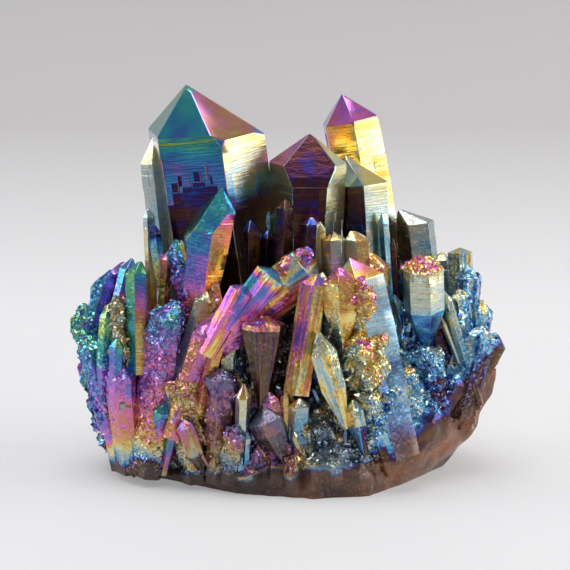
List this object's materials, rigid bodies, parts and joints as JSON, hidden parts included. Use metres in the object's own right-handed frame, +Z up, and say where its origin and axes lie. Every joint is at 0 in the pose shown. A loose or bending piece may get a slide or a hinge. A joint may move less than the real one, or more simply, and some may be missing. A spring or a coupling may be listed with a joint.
{
  "type": "quartz cluster",
  "caption": "Free-standing cluster of rainbow-coated quartz crystals grown together on a lump of bare smoky quartz, with tall points at the back and a flat foot.",
  "frame": {"origin": "middle of the outline seen from above, on the flat foot", "axes": "+Z is up out of the foot, +X runs along the length to the viewer's right, and the front faces -Y"},
  "size_m": [0.0766, 0.0446, 0.0675],
  "materials": {
    "aura_quartz": "glossy quartz with a thin iridescent metal-oxide coat, bare smoky quartz round the foot"
  },
  "bodies": {
    "root": {"quartz_cluster": "aura_quartz"}
  },
  "joints": []
}
